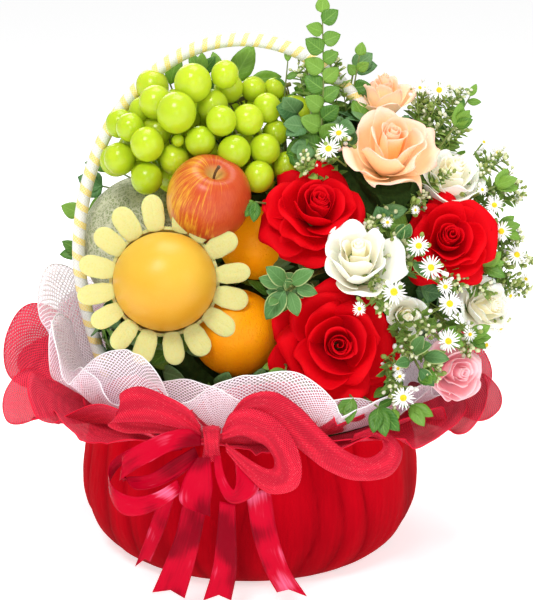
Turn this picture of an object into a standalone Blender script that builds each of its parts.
"""Fruit and flower gift basket: a cloth-wrapped basket with a hoop handle, heaped with fruit and roses.

The part stands on z = 0 with the middle of its base at the origin, and its shown side faces -Y.
Sizes and places are written in millimetres, and meshes are scaled to metres as they are made.
"""

import math
import random

import bmesh
import bpy
from mathutils import Matrix, Quaternion, Vector

MM = 0.001

# Basket
BASKET_BASE_R = 119
BASKET_BELLY_R = 171
BASKET_BELLY_Z = 72
BASKET_RIM_R = 156
BASKET_RIM_Z = 148
BASKET_WALL = 9
PLEATS = 26
PLEAT_DEPTH = 3

# Handle hoop: an upper half ellipse that runs down into two legs inside the rim
HANDLE_X = -7
HANDLE_HALF_WIDTH = 163
HANDLE_SPRING_Z = 290
HANDLE_RISE = 217
HANDLE_FOOT_Z = 118
HANDLE_FOOT_HALF_WIDTH = 116
HANDLE_R = 6.5

# Fruit: centre and radius
MELON = ((-101, 36, 296), 71)
PEAR = ((-78, -118, 297), 49)
APPLE = ((-38, -79, 367), 40)
ORANGES = {"orange_low": ((-13, -86, 238), 43.5), "orange_high": ((6, -30, 313), 37)}
COLLAR_PETALS = 16
COLLAR_REACH = 83
COLLAR_FACING = (0.1, -0.93, 0.28)

# Grape bunch: rows of the front layer, each (height, first x, count, y), with two layers behind
GRAPE_R = 15.2
GRAPE_STEP = 29
GRAPE_BACK_STEP = 37
GRAPE_BACK_Y = 14
GRAPE_ROWS = (
    (384, -104, 6, -58),
    (407, -131, 6, -55),
    (430, -122, 6, -50),
    (450, -108, 6, -42),
    (467, -98, 5, -30),
    (477, -28, 1, -20),
)
GRAPE_CORE = ((-42, -22, 424), (74, 24, 36))

CLEARANCE = 0.45
SEED = 7

# Roses: name: (centre of the head, facing, radius, height, openness, petals, colour)
RED = (0.62, 0.004, 0.012)
WHITE = (0.86, 0.83, 0.70)
PEACH = (0.87, 0.46, 0.27)
PINK = (0.84, 0.42, 0.45)
ROSES = {
    "rose_red_low": ((82, -138, 241), (0.06, -0.93, 0.3), 63, 46, 1.0, 5, RED),
    "rose_white_front": ((103, -141, 323), (0.0, -0.5, 0.86), 44, 62, 0.45, 4, WHITE),
    "rose_red_left": ((62, -94, 358), (0.22, -0.74, 0.62), 57, 46, 1.0, 5, RED),
    "rose_red_right": ((188, -86, 329), (0.08, -0.86, 0.5), 50, 44, 0.9, 5, RED),
    "rose_peach_front": ((132, -72, 411), (0.1, -0.5, 0.86), 50, 66, 0.5, 4, PEACH),
    "rose_peach_back": ((131, 0, 452), (0.0, -0.2, 1.0), 30, 52, 0.4, 3, PEACH),
    "rose_white_back": ((192, -34, 376), (0.45, -0.35, 0.8), 36, 50, 0.4, 4, WHITE),
    "rose_white_right": ((224, -58, 257), (0.75, -0.6, 0.2), 30, 44, 0.5, 4, WHITE),
    "rose_pink_low": ((192, -108, 206), (0.45, -0.85, 0.1), 33, 42, 0.5, 4, PINK),
    "rose_white_small": ((146, -108, 262), (0.2, -0.9, 0.1), 18, 34, 0.3, 2, WHITE),
}

# Mesh ruffles: a gathered edge inside the rim and a free edge that waves as it goes round
RUFFLE_WAVES = 10
RUFFLE_CREST_DEG = -83.5
RUFFLE_Z = 149.6
BOW_KNOT = (-33, -204, 168)


def reset_scene():
    for obj in list(bpy.data.objects):
        bpy.data.objects.remove(obj)
    collection = bpy.data.collections.new("fruit_and_rose_basket")
    bpy.context.scene.collection.children.link(collection)
    return collection


PARTS = reset_scene()


def material(name, colour, roughness=0.5, metallic=0.0):
    made = bpy.data.materials.get(name)
    if made is None:
        made = bpy.data.materials.new(name)
        made.use_nodes = True
        shader = made.node_tree.nodes["Principled BSDF"]
        shader.inputs["Base Color"].default_value = (*colour, 1)
        shader.inputs["Roughness"].default_value = roughness
        shader.inputs["Metallic"].default_value = metallic
    return made


# Mesh helpers


def mesh_from(bm, scale=1.0):
    bmesh.ops.recalc_face_normals(bm, faces=bm.faces)
    mesh = bpy.data.meshes.new("shape")
    bm.to_mesh(mesh)
    bm.free()
    mesh.transform(Matrix.Scale(scale, 4))
    return mesh


def evaluated(obj):
    """The object's mesh as its modifiers leave it; the object itself is removed."""
    graph = bpy.context.evaluated_depsgraph_get()
    mesh = bpy.data.meshes.new_from_object(obj.evaluated_get(graph))
    bpy.data.objects.remove(obj)
    return mesh


def welded(mesh):
    bm = bmesh.new()
    bm.from_mesh(mesh)
    bmesh.ops.remove_doubles(bm, verts=bm.verts, dist=1e-6)
    return mesh_from(bm)


def helper(mesh, collection=None):
    obj = bpy.data.objects.new("helper", mesh)
    (collection or bpy.context.scene.collection).objects.link(obj)
    return obj


def sheet(columns, rows, place, thickness, ring=False):
    """A grid bent by place(u, v), both from 0 to 1, and given its thickness. A ring's ends meet."""
    bm = bmesh.new()
    bmesh.ops.create_grid(bm, x_segments=columns, y_segments=rows, size=1)
    for vertex in bm.verts:
        vertex.co = place((vertex.co.x + 1) / 2, (vertex.co.y + 1) / 2)
    if ring:
        bmesh.ops.remove_doubles(bm, verts=bm.verts, dist=0.01)
    obj = helper(mesh_from(bm, MM))
    solidify = obj.modifiers.new("thickness", "SOLIDIFY")
    solidify.thickness = thickness * MM
    solidify.offset = 0
    return evaluated(obj)


def turned(profile, steps):
    """A closed solid turned about Z from a profile of (radius, height) that runs top to bottom."""
    bm = bmesh.new()
    corners = [bm.verts.new((r, 0, z)) for r, z in profile]
    for a, b in zip(corners, corners[1:]):
        bm.edges.new((a, b))
    mesh = bpy.data.meshes.new("profile")
    bm.to_mesh(mesh)
    bm.free()
    mesh.transform(Matrix.Scale(MM, 4))
    obj = helper(mesh)
    screw = obj.modifiers.new("turn", "SCREW")
    screw.steps = screw.render_steps = steps
    screw.use_merge_vertices = True
    screw.merge_threshold = 0.0001
    return welded(evaluated(obj))


def tube(points, radius, bevel_resolution=0):
    """A closed tube through the points, its caps welded."""
    curve = bpy.data.curves.new("path", "CURVE")
    curve.dimensions = "3D"
    curve.bevel_depth = radius * MM
    curve.bevel_resolution = bevel_resolution
    curve.use_fill_caps = True
    spline = curve.splines.new("POLY")
    spline.points.add(len(points) - 1)
    for point, place in zip(spline.points, points):
        point.co = (*(Vector(place) * MM), 1)
    mesh = evaluated(helper(curve))
    bpy.data.curves.remove(curve)
    return welded(mesh)


def ball(centre, radii, segments, rings):
    bm = bmesh.new()
    bmesh.ops.create_uvsphere(bm, u_segments=segments, v_segments=rings, radius=1)
    bmesh.ops.scale(bm, vec=Vector(radii), verts=bm.verts)
    bmesh.ops.translate(bm, vec=Vector(centre), verts=bm.verts)
    return mesh_from(bm, MM)


def moved(mesh, matrix):
    mesh.transform(matrix)
    return mesh


def boolean(mesh, others, operation):
    """One Boolean with every mesh of others at once."""
    if not others:
        return mesh
    collection = bpy.data.collections.new("operands")
    bpy.context.scene.collection.children.link(collection)
    operands = [helper(other, collection) for other in others]
    obj = helper(mesh)
    modifier = obj.modifiers.new(operation.lower(), "BOOLEAN")
    modifier.operation = operation
    modifier.operand_type = "COLLECTION"
    modifier.collection = collection
    modifier.solver = "MANIFOLD"
    made = evaluated(obj)
    for operand in operands:
        bpy.data.objects.remove(operand)
    bpy.data.collections.remove(collection)
    return made


def united(meshes, kept=1.0):
    """The meshes fused to one, with the short edges along their joins collapsed to a kept share."""
    mesh = largest_body(boolean(meshes[0], meshes[1:], "UNION"))
    if kept == 1:
        return mesh
    obj = helper(mesh)
    decimate = obj.modifiers.new("fewer", "DECIMATE")
    decimate.ratio = kept
    return largest_body(evaluated(obj))


def largest_body(mesh):
    """Drops the loose scraps that a cut leaves, keeping the body of the largest volume."""
    bm = bmesh.new()
    bm.from_mesh(mesh)
    left, bodies = set(bm.faces), []
    while left:
        body, front = set(), [left.pop()]
        while front:
            face = front.pop()
            body.add(face)
            near = {f for edge in face.edges for f in edge.link_faces} & left
            left -= near
            front.extend(near)
        bodies.append(body)
    bodies.sort(key=lambda faces: -abs(body_volume(faces)))
    for body in bodies[1:]:
        bmesh.ops.delete(bm, geom=list(body), context="FACES")
    bmesh.ops.triangulate(bm, faces=bm.faces)
    bm.to_mesh(mesh)
    bm.free()
    return mesh


def body_volume(faces):
    total = 0.0
    for face in faces:
        corners = [vertex.co for vertex in face.verts]
        for a, b in zip(corners[1:], corners[2:]):
            total += corners[0].dot(a.cross(b)) / 6
    return total


def hull(mesh, clearance=CLEARANCE):
    """The mesh's convex hull, scaled about its middle until it stands clear by the clearance."""
    bm = bmesh.new()
    bm.from_mesh(mesh)
    bmesh.ops.convex_hull(bm, input=bm.verts)
    loose = [vertex for vertex in bm.verts if not vertex.link_faces]
    bmesh.ops.delete(bm, geom=loose, context="VERTS")
    inner = [face for face in bm.faces if any(len(edge.link_faces) > 2 for edge in face.edges)]
    if inner:
        points = [vertex.co.copy() for vertex in bm.verts]
        bm.clear()
        fresh = [bm.verts.new(point) for point in points]
        bmesh.ops.convex_hull(bm, input=fresh)
    bmesh.ops.recalc_face_normals(bm, faces=bm.faces)
    middle = sum((vertex.co for vertex in bm.verts), Vector()) / len(bm.verts)
    nearest = min(abs((face.calc_center_median() - middle).dot(face.normal)) for face in bm.faces)
    growth = 1 + clearance * MM / max(nearest, MM)
    for vertex in bm.verts:
        vertex.co = middle + (vertex.co - middle) * growth
    return mesh_from(bm)


def thickened(mesh, clearance=CLEARANCE):
    """The mesh with its surface moved out along its normals, for cutting a thin neighbour."""
    bm = bmesh.new()
    bm.from_mesh(mesh)
    bm.normal_update()
    shifts = [vertex.normal * clearance * 1.5 * MM for vertex in bm.verts]
    for vertex, shift in zip(bm.verts, shifts):
        vertex.co += shift
    return mesh_from(bm)


CUTTERS = {}
BULK_CUTTERS = {}


def box_of(mesh):
    points = [vertex.co for vertex in mesh.vertices]
    low = Vector(min(point[i] for point in points) for i in range(3))
    high = Vector(max(point[i] for point in points) for i in range(3))
    return low, high


def near(first, second, margin=0.001):
    (a, b), (c, d) = box_of(first), box_of(second)
    return all(a[i] - margin < d[i] and c[i] - margin < b[i] for i in range(3))


def carved(mesh, names, cutters_of=CUTTERS):
    """The mesh cut back from the finished pieces of these names, its largest body kept."""
    known = [cutters_of.get(name, CUTTERS[name]) for name in names]
    cutters = [cutter.copy() for cutter in known if near(mesh, cutter)]
    if not cutters:
        return mesh
    return largest_body(boolean(mesh, cutters, "DIFFERENCE"))


def add(name, mesh, finish, cutter=None, smooth=True):
    """Makes the mesh a named piece, with its origin at its lowest point's height on its middle."""
    CUTTERS[name] = cutter or hull(mesh)
    low, high = box_of(mesh)
    origin = Vector(((low.x + high.x) / 2, (low.y + high.y) / 2, low.z))
    mesh.transform(Matrix.Translation(-origin))
    mesh.name = name
    mesh.materials.clear()
    mesh.materials.append(finish)
    if smooth:
        mesh.shade_smooth()
        mesh.set_sharp_from_angle(angle=math.radians(40))
    obj = bpy.data.objects.new(name, mesh)
    obj.location = origin
    PARTS.objects.link(obj)
    return obj


def smooth_path(points, steps):
    """Points along a Catmull-Rom curve through rows of numbers of any length."""
    rows = [Vector(point) for point in points]
    rows = [rows[0] * 2 - rows[1], *rows, rows[-1] * 2 - rows[-2]]
    spans, made = len(rows) - 3, []
    for step in range(steps + 1):
        place = min(step / steps * spans, spans - 1e-9)
        i, t = int(place), place - int(place)
        a, b, c, d = rows[i : i + 4]
        curve = (c - a) * t + (a * 2 - b * 5 + c * 4 - d) * t**2 + (b * 3 - a - c * 3 + d) * t**3
        made.append(b + curve * 0.5)
    return made


# Basket and handle


def basket_radius(z):
    """Outer radius of the wrapped basket at height z, before pleats."""
    if z <= BASKET_BELLY_Z:
        rise = 1 - (z / BASKET_BELLY_Z)
        return BASKET_BASE_R + (BASKET_BELLY_R - BASKET_BASE_R) * math.sqrt(1 - rise**2.2)
    rise = (z - BASKET_BELLY_Z) / (BASKET_RIM_Z - BASKET_BELLY_Z)
    return BASKET_BELLY_R - (BASKET_BELLY_R - BASKET_RIM_R) * rise**1.6


def basket_wrap():
    """Pleated cloth over the basket: one shell with a flat base and an open rim."""
    heights = [0, 12, 40, 84, BASKET_RIM_Z]
    bm = bmesh.new()
    bmesh.ops.create_grid(bm, x_segments=2 * PLEATS, y_segments=len(heights) - 1, size=1)
    for vertex in bm.verts:
        column = round((vertex.co.x + 1) * PLEATS)
        z = heights[round((vertex.co.y + 1) / 2 * (len(heights) - 1))]
        angle = math.tau * column / (2 * PLEATS)
        angle += 0.045 * math.sin(3 * angle + 0.5) + 0.03 * math.sin(7 * angle)
        ridge = PLEAT_DEPTH if column % 2 else -PLEAT_DEPTH
        radius = basket_radius(z) + ridge * min(1, z / 30)
        vertex.co = (radius * math.cos(angle), radius * math.sin(angle), z)
    bmesh.ops.remove_doubles(bm, verts=bm.verts, dist=0.01)
    bmesh.ops.holes_fill(bm, edges=bm.edges)
    inside = turned(hollow_profile(0, BASKET_RIM_Z + 20), 16)
    return boolean(mesh_from(bm, MM), [inside], "DIFFERENCE")


def hollow_profile(inset, top):
    """The inside of the basket, top to bottom, as (radius, height)."""
    floor = BASKET_WALL - 3
    heights = [BASKET_RIM_Z, 84, 40]
    wall = [(basket_radius(z) - BASKET_WALL - inset, z) for z in heights]
    mouth = wall[0][0]
    bottom = (BASKET_BASE_R - 4 - inset, floor + inset)
    return [(0, top), (mouth, top), *wall, bottom, (0, floor + inset)]


def handle_path():
    """The hoop's centre line, from the left foot over the top to the right foot."""
    arch, steps = [], 20
    for step in range(steps + 1):
        angle = math.pi * (1 - step / steps)
        x = HANDLE_X + HANDLE_HALF_WIDTH * math.cos(angle)
        arch.append(Vector((x, 0, HANDLE_SPRING_Z + HANDLE_RISE * math.sin(angle))))
    left, right, steps = [], [], 4
    for step in range(steps, 0, -1):
        share = step / steps
        half = HANDLE_HALF_WIDTH - (HANDLE_HALF_WIDTH - HANDLE_FOOT_HALF_WIDTH) * share**1.7
        z = HANDLE_SPRING_Z - (HANDLE_SPRING_Z - HANDLE_FOOT_Z) * share
        left.append(Vector((HANDLE_X - half, 0, z)))
        right.insert(0, Vector((HANDLE_X + half, 0, z)))
    return left + arch + right


# Fruit


def apple_mesh(centre, radius):
    """A turned body with its two dimples, and a short stem that stands in the upper one."""
    profile = [(0, 0.62), (0.12, 0.68), (0.3, 0.84), (0.56, 0.86), (0.84, 0.62), (0.99, 0.2)]
    profile += [(0.98, -0.2), (0.8, -0.62), (0.52, -0.86), (0.28, -0.9), (0.1, -0.8), (0, -0.76)]
    body = turned([(r * radius, z * radius) for r, z in profile], 12)
    stem = tube([(0, 0, 0.5 * radius), (0.3, 0, 0.82 * radius), (2.2, 0, 1.0 * radius)], 1.3)
    lean = Quaternion((1, 0, 0), math.radians(28)) @ Quaternion((0, 1, 0), math.radians(12))
    place = Matrix.Translation(Vector(centre) * MM) @ lean.to_matrix().to_4x4()
    return moved(united([body, stem]), place)


def foam_collar():
    """Foam cup behind the pear, with petals that stand out from its edge like a sunflower."""
    radius = PEAR[1]
    inner, outer = radius + 1, radius + 5
    arc = [math.radians(a) for a in (8, -22, -52)]
    outside = [(outer * math.cos(a), outer * math.sin(a)) for a in arc]
    inside = [(inner * math.cos(a), inner * math.sin(a)) for a in reversed(arc)]
    cup = turned([*outside, *inside, outside[0]], 14)
    pieces = [cup]
    for i in range(COLLAR_PETALS):
        pieces.append(collar_petal(radius, math.tau * (i + 0.3) / COLLAR_PETALS, i))
    return moved(united(pieces, 0.85), collar_place())


def collar_place():
    facing = Vector(COLLAR_FACING).to_track_quat("Z", "Y")
    return Matrix.Translation(Vector(PEAR[0]) * MM) @ facing.to_matrix().to_4x4()


def collar_seat():
    """A dish of few faces that holds the whole collar, for cutting its seat."""
    reach = COLLAR_REACH + 5
    profile = [(0, 24), (reach, 24), (reach, -2), (PEAR[1] + 9, -48), (0, -48)]
    return moved(turned(profile, 8), collar_place())


def collar_petal(radius, angle, i):
    """One rounded foam petal, drawn along +X and turned to its place round the pear."""
    start, end, half = radius + 2.3, COLLAR_REACH + 2.5 * math.sin(i * 2.4), 9.2
    bm = bmesh.new()
    bmesh.ops.create_cone(
        bm, cap_ends=True, segments=6, radius1=1, radius2=0.8, depth=1
    )
    for vertex in bm.verts:
        x = (start + end) / 2 + (end - start) / 2 * vertex.co.x
        rise = 2.5 + 0.22 * (x - start)
        vertex.co = (x, half * vertex.co.y, rise + 5 * vertex.co.z)
    bmesh.ops.rotate(bm, matrix=Matrix.Rotation(angle, 3, "Z"), verts=bm.verts)
    return mesh_from(bm, MM)


def grape_places():
    """Centre and radius of every grape: hex-packed rows in layers, pushed back from other fruit."""
    draw = random.Random(SEED)
    made = []
    for z, first, count, y in GRAPE_ROWS:
        for i in range(count):
            spot = Vector((first + GRAPE_STEP * i, y, z))
            made.append((spot, GRAPE_R + draw.uniform(-1, 1.6), draw))
    for z, first, count, _ in GRAPE_ROWS[::2]:
        for i in range(int(count * GRAPE_STEP / GRAPE_BACK_STEP)):
            spot = Vector((first + GRAPE_BACK_STEP * i + 10, GRAPE_BACK_Y, z - 3))
            made.append((spot, 1.2 * GRAPE_R, draw))
    return [place for place in (settled(*grape) for grape in made) if place]


def settled(spot, radius, draw):
    """A grape's centre and radius after a small random shift, or None where there is no room."""
    shift = Vector((draw.uniform(-2.5, 2.5), draw.uniform(-3, 3), draw.uniform(-3, 3)))
    centre = push_back(spot + shift, radius)
    return centre and (centre, radius)


def push_back(centre, radius):
    """The centre moved clear of apple, melon, orange and handle, or None where that takes it far."""
    solid = [APPLE, MELON, ORANGES["orange_high"]]
    start = centre.copy()
    for _ in range(12):
        crossed = False
        for middle, reach in solid:
            away = centre - Vector(middle)
            if away.length < reach + radius + 0.8:
                centre = Vector(middle) + away.normalized() * (reach + radius + 1.2)
                crossed = True
        for point in handle_path():
            away = centre - Vector(point)
            if away.length < HANDLE_R + radius + 1.5:
                centre = Vector(point) + away.normalized() * (HANDLE_R + radius + 2)
                crossed = True
        if not crossed:
            return centre if (centre - start).length < 20 else None
    return None


def grape_bunch():
    """One heap: a core with the grapes of the front and back layers fused to it."""
    pieces = [ball(*GRAPE_CORE, 8, 5)]
    for centre, radius in grape_places():
        pieces.append(ball(centre, (radius, radius, radius * 1.06), 7, 4))
    return united(pieces, 0.62)


# Roses


def bezier(points, t):
    a, b, c, d = (Vector(point) for point in points)
    return a * (1 - t) ** 3 + b * 3 * t * (1 - t) ** 2 + c * 3 * t * t * (1 - t) + d * t**3


def rose_petal(angle, k, radius, height, openness, spread):
    """A petal of a rose that faces +Z: k is 0 at the heart and 1 outside."""
    belly = radius * (0.2 + 0.42 * k)
    lip = radius * (0.12 + (0.38 + 0.5 * openness) * k**1.2)
    top = height * (1 - 0.55 * k * openness)
    line = (
        (0.08 * radius, 0.0),
        (1.15 * belly, (0.04 + 0.1 * k) * height),
        (1.05 * belly, 0.62 * height * (1 - 0.35 * k * openness)),
        (lip, top),
    )

    def place(u, v):
        side = 2 * u - 1
        reach = v * (1 - 0.2 * abs(side) ** 2.4)
        r, z = bezier(line, reach)
        turn = angle + spread * side * (1 - 0.12 * v**3)
        r += 0.05 * radius * side * side * v * k
        return Vector((r * math.cos(turn), r * math.sin(turn), z))

    return sheet(2, 2, place, 2.4)


def rose_place(centre, facing, height):
    """The matrix that puts a head built on +Z with its foot at the origin in its place."""
    axis = Vector(facing).normalized()
    foot = Matrix.Translation((Vector(centre) - axis * height * 0.45) * MM)
    return foot @ axis.to_track_quat("Z", "Y").to_matrix().to_4x4()


def rose_seat(centre, facing, radius, height, openness):
    """A cup of few faces that holds the whole head and its calyx, for cutting its seat."""
    wide = radius * (0.6 + 0.5 * openness)
    profile = [(0, height), (wide, height), (wide, 0.3 * height), (0.55 * radius, -4)]
    seat = turned([*profile, (6.5, -4), (6.5, -28), (0, -28)], 8)
    return moved(seat, rose_place(centre, facing, height))


def rose(centre, facing, radius, height, openness, petals):
    """A rose head: a tight heart, petals that open outwards, and a calyx that reaches the foliage."""
    heart_r = 0.36 * radius
    heart = turned(
        [(0, 0.97), (0.55, 0.93), (1.0, 0.45), (0.6, 0.05), (0, 0.0)], 6
    )
    heart.transform(Matrix.Diagonal((heart_r, heart_r, height, 1)))
    calyx = tube([(0, 0, -26), (0, 0, -8), (0, 0, 4)], 4.5)
    pieces = [heart, calyx]
    for i in range(petals):
        k = 0.45 + 0.55 * i / max(1, petals - 1)
        spread = math.radians(78 - 12 * k)
        angle = i * math.radians(137.5)
        pieces.append(rose_petal(angle, k, radius, height, openness, spread))
    return moved(united(pieces, 0.7), rose_place(centre, facing, height))


# Mesh ruffles and ribbons


def ruffle_point(u, v, colour):
    """A point of a ruffle: u goes once round, v from the gathered edge to the free edge."""
    angle = math.tau * u - math.pi
    crest = RUFFLE_WAVES * (angle - math.radians(RUFFLE_CREST_DEG))
    side = abs(math.cos(angle)) ** 1.5
    left = max(0.0, -math.cos(angle)) ** 2
    front = max(0.0, -math.sin(angle)) ** 3
    if colour == "white":
        start_r, reach, lift = 148.0, 192 + 12 * side, 205 + 52 * left - 6 * front
        wave, bow_out, rise = 21.0, 10.0, 1.1
    else:
        start_r, reach, lift = 153.5, 208 + 34 * side - 32 * front, 184 + 12 * left - 24 * front
        wave, bow_out, rise = 27 - 19 * front, 8.0, 1.45
    r = start_r + (reach - start_r) * v**0.75 + bow_out * v * math.sin(crest)
    z = RUFFLE_Z + (lift - RUFFLE_Z) * v**rise + wave * v**1.6 * math.cos(crest)
    turn = angle + math.radians(5.5) * v * math.sin(crest + 0.6)
    return Vector((r * math.cos(turn), r * math.sin(turn), z))


def ruffle(colour, columns, rows):
    return sheet(columns, rows, lambda u, v: ruffle_point(u, v, colour), 1.2, ring=True)


def ribbon(stations, columns, thickness=0.9, rows=1, crown=0.0, notch=0.0):
    """A band along stations of (x, y, z, half-width vector).

    Crown bulges it between its edges, and notch cuts its end to a V of that depth.
    """
    line = smooth_path(stations, columns)

    def place(u, v):
        station = line[round(u * columns)]
        middle, half = Vector(station[:3]), Vector(station[3:])
        after = line[min(round(u * columns) + 1, columns)]
        before = line[max(round(u * columns) - 1, 0)]
        along = Vector(after[:3]) - Vector(before[:3])
        normal = along.cross(half).normalized()
        side = 2 * v - 1
        cut = notch * (1 - abs(side)) if u > 0.999 else 0
        bulge = normal * crown * (1 - side * side)
        return middle + half * side + bulge - along.normalized() * cut

    return sheet(columns, rows, place, thickness)


def bow_knot():
    """The gathered middle of the bow."""
    x, y, z = BOW_KNOT
    profile = [(0, 15), (6.5, 15), (8.5, 9), (7.6, 0), (8.5, -9), (7, -16), (0, -16)]
    knot = turned(profile, 10)
    return moved(knot, Matrix.Translation(Vector((x, y, z)) * MM))


# Mesh loops of the bow: stations of centre and half-width, from the knot out and back
BOW_LOOPS = {
    "bow_loop_left": (
        (-42, -206, 180, 0, 0, 5),
        (-56, -214, 195, 2, 3, 9),
        (-78, -217, 205, 3, 4, 12),
        (-101, -212, 208, 3, 5, 15),
        (-121, -203, 200, 5, 6, 12),
        (-110, -193, 186, 2, 4, 10),
        (-80, -197, 184, 0, 2, 8),
        (-51, -201, 178, 0, 1, 5),
    ),
    "bow_loop_right": (
        (-23, -207, 178, 0, 1, 5),
        (-10, -211, 189, -4, -4, 13),
        (7, -215, 189, 1, -6, 17),
        (24, -219, 180, 8, -6, 12),
        (35, -222, 160, 12, -5, 2),
        (33, -222, 142, 11, -3, -8),
        (16, -218, 138, 3, -2, -12),
        (-2, -213, 150, 0, -1, -8),
        (-20, -208, 166, 0, 0, -4),
    ),
    "bow_trail": (
        (-20, -199, 183, 0, 1, 4),
        (-1, -202, 200, -2, 3, 10),
        (22, -204, 201, 0, 4, 15),
        (42, -202, 186, 4, 4, 15),
        (60, -197, 166, 7, 3, 11),
        (80, -190, 147, 8, 3, 9),
        (103, -184, 136, 5, 3, 10),
        (126, -178, 140, -4, 2, 12),
        (132, -169, 154, -10, 0, 5),
        (116, -166, 166, -6, -1, -4),
        (96, -168, 161, -2, -1, -4),
    ),
}

# Satin loops and tails, 20 to 28 mm wide
SATIN_LOOPS = {
    "satin_loop_upper": (
        (-42, -211, 173, 0, 1, 4),
        (-54, -218, 178, 1, 2, 8),
        (-70, -224, 177, 0, 2, 9),
        (-86, -226, 170, -1, 1, 10),
        (-102, -226, 161, -3, 0, 9),
        (-114, -222, 149, 1, 1, 9),
        (-107, -214, 135, 1, 1, -5),
        (-89, -211, 134, 0, 0, -7),
        (-67, -209, 145, 3, 0, -8),
        (-46, -207, 160, 2, 0, -6),
    ),
    "satin_loop_lower": (
        (-60, -202, 165, 0, 0, 4),
        (-88, -203, 163, 0, 0, 6),
        (-112, -208, 156, 1, 0, 6),
        (-125, -218, 142, 0, 1, 9),
        (-119, -227, 124, -2, 1, 11),
        (-102, -228, 117, -1, 1, 9),
        (-81, -223, 121, -2, 1, 7),
        (-62, -214, 131, -2, 0, 6),
    ),
    "satin_loop_drop": (
        (-28, -213, 160, 3, 0, 0),
        (-25, -219, 142, 4, 0, 1),
        (-17, -222, 126, 3, 0, 5),
        (-9, -220, 126, -2, 0, 9),
        (-1, -215, 136, -10, 0, 9),
        (-3, -210, 150, -10, 0, 6),
    ),
    "satin_loop_middle": (
        (-40, -213, 158, 6, 0, 0),
        (-43, -216, 148, 10, 0, -1),
        (-46, -218, 132, 14, 0, -1),
        (-48, -221, 119, 14, 1, -2),
        (-45, -225, 110, 11, 2, -5),
    ),
}
SATIN_TAILS = {
    "satin_tail_outer": (
        (-76, -200, 110, 8, 1, 3),
        (-85, -198, 81, 8, 1, 2),
        (-98, -195, 47, 7, 1, 2),
    ),
    "satin_tail_left": (
        (-49, -207, 108, 11, 1, -2),
        (-56, -209, 76, 11, 1, -4),
        (-65, -206, 46, 13, 1, -4),
        (-74, -205, 20, 15, 0, -3),
    ),
    "satin_tail_middle": (
        (-19, -207, 112, 7, 1, -2),
        (-20, -209, 78, 9, 1, -2),
        (-22, -207, 46, 11, 1, -2),
        (-29, -205, 15, 13, 0, 0),
    ),
    "satin_tail_right": (
        (9, -208, 124, 11, 1, 2),
        (15, -210, 84, 11, 1, 2),
        (26, -207, 47, 11, 1, 1),
        (40, -205, 21, 14, 0, -2),
    ),
}
TAIL_NOTCH = 6


# Foliage and small flowers


def leaf(length, width, at, along, normal, bend=0.12):
    """A thin leaf that starts at a point, wavy and folded a little along its rib."""
    bm = bmesh.new()
    bmesh.ops.create_circle(bm, cap_ends=True, cap_tris=True, segments=6, radius=1)
    for vertex in bm.verts:
        x = (vertex.co.x + 1) / 2
        y = vertex.co.y * (1 - 0.3 * (x - 0.4))
        lift = 0.16 * abs(y) * width - bend * length * x * x + 0.05 * width * math.sin(7 * x + y)
        vertex.co = (x * length, y * width / 2, lift)
    frame_x = Vector(along).normalized()
    frame_y = Vector(normal).cross(frame_x).normalized()
    frame_z = frame_x.cross(frame_y)
    turn = Matrix((frame_x, frame_y, frame_z)).transposed().to_4x4()
    bm.transform(Matrix.Translation(Vector(at)) @ turn)
    obj = helper(mesh_from(bm, MM))
    solidify = obj.modifiers.new("thickness", "SOLIDIFY")
    solidify.thickness = 0.9 * MM
    solidify.offset = 0
    return evaluated(obj)


def leafy_branch(base, tip, pairs, length, width, face=(0, -1, 0.25), seed=0, bare=0.2):
    """A stem from base to tip with leaves in near-opposite pairs and one at its end."""
    draw = random.Random(seed)
    base, tip = Vector(base), Vector(tip)
    bow = Vector((draw.uniform(-4, 4), draw.uniform(-4, 4), 0))
    line = smooth_path([base, (base + tip) / 2 + bow, tip], 2)
    pieces = [tube(line, 1.3)]
    along = (tip - base).normalized()
    outward = Vector(face).normalized()
    across = along.cross(outward).normalized()
    for i in range(pairs):
        share = bare + (1 - bare) * (i + 0.3) / pairs
        for side in (-1, 1):
            spot = base.lerp(tip, min(1, share + 0.04 * side)) + bow * (1 - abs(2 * share - 1))
            size = 1 - 0.3 * share + draw.uniform(-0.1, 0.1)
            aim = across * side + along * draw.uniform(0.3, 0.9) + outward * draw.uniform(-0.1, 0.35)
            normal = outward + across * draw.uniform(-0.35, 0.35) + along * draw.uniform(-0.4, 0.2)
            start = spot - aim.normalized() * 0.6
            pieces.append(leaf(length * size, width * size, start, aim, normal))
    pieces.append(leaf(length * 0.7, width * 0.6, tip - along, along, outward))
    return united(pieces)


def aster_spray(base, heads):
    """Thin stems that fan out from one base, each with a small daisy head of its own radius."""
    base = Vector(base)
    pieces = []
    for x, y, z, radius in heads:
        top = Vector((x, y, z))
        facing = ((top - base).normalized() * 0.5 + Vector((0, -1, 0.35))).normalized()
        neck = top - facing * 7
        pieces.append(tube([base, neck, top], 0.9))
        bm = bmesh.new()
        bmesh.ops.create_cone(
            bm, cap_ends=True, segments=6, radius1=radius * 0.45, radius2=radius, depth=3
        )
        bm.transform(Matrix.Scale(MM, 4))
        turn = facing.to_track_quat("Z", "Y").to_matrix().to_4x4()
        bm.transform(Matrix.Translation(top * MM) @ turn)
        pieces.append(mesh_from(bm))
    return united(pieces)


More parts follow.
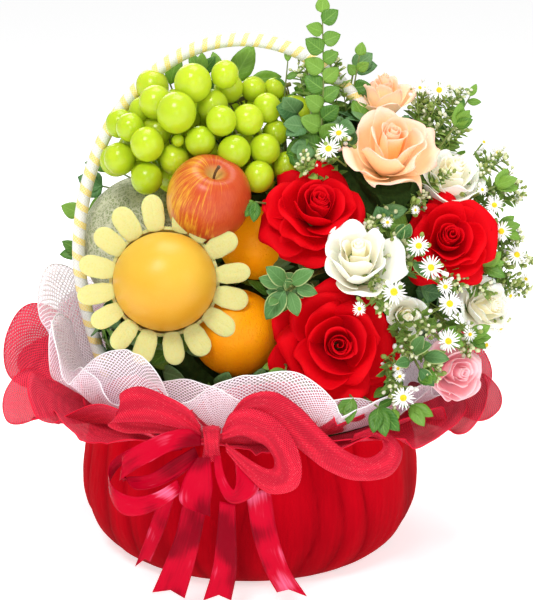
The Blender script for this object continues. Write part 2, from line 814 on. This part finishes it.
# Leafy branches: name: (base, tip, pairs of leaves, leaf length, leaf width, facing)
FORWARD = (0, -1, 0.25)
BRANCHES = {
    "branch_tall": ((66, -46, 392), (69, -36, 536), 5, 24, 19, FORWARD),
    "branch_bud": ((36, -6, 396), (37, -2, 486), 1, 20, 13, FORWARD),
    "branch_behind_grapes": ((-8, 34, 402), (-30, 38, 470), 2, 32, 17, FORWARD),
    "branch_left_top": ((-40, 44, 400), (-66, 36, 462), 1, 30, 14, FORWARD),
    "branch_right_top": ((176, 6, 372), (214, 0, 452), 2, 20, 12, FORWARD),
    "branch_shoulder": ((92, 2, 418), (106, -4, 492), 2, 25, 18, FORWARD),
    "branch_left_side": ((-70, 96, 270), (-176, 82, 318), 2, 30, 20, (-0.3, -0.9, 0.3)),
    "branch_middle": ((52, -100, 296), (26, -154, 290), 2, 24, 16, (0, -0.9, 0.5)),
    "branch_low_left": ((40, -100, 216), (32, -150, 208), 1, 26, 16, (0, -0.8, 0.6)),
    "branch_low_right": ((128, -96, 210), (134, -158, 186), 2, 24, 17, (0.2, -0.8, 0.5)),
    "branch_right_side": ((182, 10, 300), (246, -14, 300), 2, 28, 20, (0.5, -0.8, 0.2)),
    "branch_right_high": ((184, 20, 340), (236, -6, 346), 1, 24, 17, (0.5, -0.8, 0.3)),
    "branch_back_left": ((-10, 92, 300), (-36, 108, 398), 2, 34, 22, (-0.2, 1, 0.2)),
    "branch_back_middle": ((70, 76, 330), (60, 84, 450), 3, 30, 21, (0, 1, 0.2)),
    "branch_back_right": ((150, 66, 310), (206, 70, 372), 2, 30, 21, (0.3, 1, 0.2)),
}

# Aster sprays: name: (base, heads as x, y, z, radius)
SPRAYS = {
    "asters_grape_side": ((92, -58, 394), ((74, -92, 417, 12), (84, -76, 429, 10))),
    "asters_top": ((172, 2, 390), ((182, -20, 461, 11), (164, -12, 462, 7))),
    "asters_right_top": ((196, 10, 350), ((242, -10, 398, 10), (228, -6, 408, 6))),
    "asters_right": ((196, -20, 330), ((234, -56, 356, 10), (240, -66, 333, 11))),
    "asters_right_low": ((196, -30, 262), ((258, -50, 306, 11), (270, -32, 277, 7))),
    "asters_middle": (
        (152, -96, 300),
        ((155, -144, 337, 11), (166, -150, 318, 12), (180, -146, 299, 8)),
    ),
    "asters_low_middle": ((140, -90, 282), ((131, -172, 301, 13), (100, -182, 288, 7))),
    "asters_low_right": ((160, -82, 246), ((184, -150, 284, 12), (184, -146, 247, 12))),
    "asters_bottom": ((138, -96, 216), ((142, -166, 199, 12), (138, -150, 222, 6))),
    "asters_back": ((120, 84, 330), ((124, 118, 372, 12), (150, 110, 350, 11))),
}

BED_LUMPS = {
    "neck": ((20, 0, 188), (118, 112, 90)),
    "fruit": ((-60, 6, 212), (82, 104, 80)),
    "middle": ((-8, 26, 322), (56, 56, 80)),
    "flower": ((112, -8, 300), (88, 90, 132)),
}


def coarse_ball(centre, radius):
    """A ball of few faces that holds the whole fruit, for cutting a seat that isn't seen."""
    return ball(centre, (1.13 * radius,) * 3, 8, 6)


def bed():
    """Packing and foliage that fill the basket and carry the fruit and the flowers."""
    filling = turned(hollow_profile(2, BASKET_RIM_Z + 1), 16)
    lumps = [ball(centre, radii, 10, 6) for centre, radii in BED_LUMPS.values()]
    return united([filling, united(lumps, 0.6)])


def build():
    cloth = material("red_cloth", (0.60, 0.004, 0.03), 0.75)
    net_red = material("red_net", (0.80, 0.01, 0.07), 0.6)
    net_white = material("white_net", (0.86, 0.80, 0.86), 0.6)
    satin = material("satin", (0.78, 0.004, 0.05), 0.3)
    green = material("leaf_green", (0.05, 0.19, 0.03), 0.5)
    dark = material("packing", (0.02, 0.06, 0.02), 0.8)

    add("basket_wrap", basket_wrap(), cloth)
    loop = handle_path()
    longer = [loop[0] * 1.2 - loop[1] * 0.2, *loop, loop[-1] * 1.2 - loop[-2] * 0.2]
    cutter = tube(longer, HANDLE_R + 0.9, 1)
    add("handle", tube(loop, HANDLE_R, 1), material("handle_wrap", (0.9, 0.8, 0.5), 0.4), cutter)

    add("melon", ball(MELON[0], (MELON[1],) * 3, 14, 9), material("melon", (0.45, 0.5, 0.3), 0.7))
    pear_r = (PEAR[1], PEAR[1] * 0.97, PEAR[1] * 0.94)
    add("golden_pear", ball(PEAR[0], pear_r, 16, 9), material("pear", (0.87, 0.52, 0.08), 0.4))
    add("apple", apple_mesh(*APPLE), material("apple", (0.6, 0.06, 0.04), 0.35))
    for name, (centre, radius) in ORANGES.items():
        body = ball(centre, (radius, radius, radius * 0.96), 14, 8)
        add(name, body, material("orange_peel", (0.95, 0.32, 0.01), 0.45))
    fruit = ["melon", "golden_pear", "apple", *ORANGES]

    collar = carved(foam_collar(), fruit)
    add("foam_collar", collar, material("foam", (0.9, 0.85, 0.3), 0.8))
    bunch = carved(grape_bunch(), ["apple", "melon", "orange_high", "handle"])
    add("grapes", bunch, material("grape", (0.45, 0.65, 0.03), 0.25))

    ruffles = {"ruffle_white": net_white, "ruffle_red": net_red}
    for name, finish in ruffles.items():
        frill = ruffle(name.split("_")[1], 50, 2)
        add(name, frill, finish, cutter=thickened(frill))

    heads = []
    for name, (centre, facing, radius, height, openness, petals, colour) in ROSES.items():
        head = rose(centre, facing, radius, height, openness, petals)
        head = carved(head, fruit + ["handle", "grapes", *ruffles] + heads)
        finish = material("petals_" + name.split("_")[1], colour, 0.6)
        add(name, head, finish)
        BULK_CUTTERS[name] = rose_seat(centre, facing, radius, height, openness)
        heads.append(name)

    for name, (centre, radius) in zip(fruit, [MELON, PEAR, APPLE, *ORANGES.values()]):
        BULK_CUTTERS[name] = coarse_ball(centre, radius)
    BULK_CUTTERS["foam_collar"] = collar_seat()
    BULK_CUTTERS["grapes"] = ball(GRAPE_CORE[0], (122, 62, 74), 10, 6)
    carriers = fruit + ["foam_collar", "grapes", "handle", *ruffles] + heads
    ground = carved(bed(), carriers, BULK_CUTTERS)
    add("foliage_bed", ground, dark, cutter=thickened(ground))

    add("bow_knot", bow_knot(), net_red)
    ribbons = ["bow_knot"]
    for name, stations in BOW_LOOPS.items():
        band = carved(ribbon(stations, 12, 1.2, 2, 2.5), ribbons)
        add(name, band, net_red, cutter=thickened(band))
        ribbons.append(name)
    for name, stations in {**SATIN_LOOPS, **SATIN_TAILS}.items():
        if name in SATIN_TAILS:
            band = ribbon(stations, 5, rows=2, notch=TAIL_NOTCH)
        else:
            band = ribbon(stations, 10)
        band = carved(band, ribbons)
        add(name, band, satin, cutter=thickened(band))
        ribbons.append(name)

    fixed = fruit + ["grapes", "handle", "foliage_bed", "foam_collar", *ruffles] + heads
    for seed, (name, (base, tip, pairs, length, width, face)) in enumerate(BRANCHES.items()):
        branch = carved(leafy_branch(base, tip, pairs, length, width, face, seed), fixed)
        add(name, branch, green, cutter=thickened(branch))
        fixed.append(name)
    for name, (base, spray_heads) in SPRAYS.items():
        spray = carved(aster_spray(base, spray_heads), fixed)
        add(name, spray, material("aster", (0.9, 0.9, 0.85), 0.6), cutter=thickened(spray))
        fixed.append(name)


build()
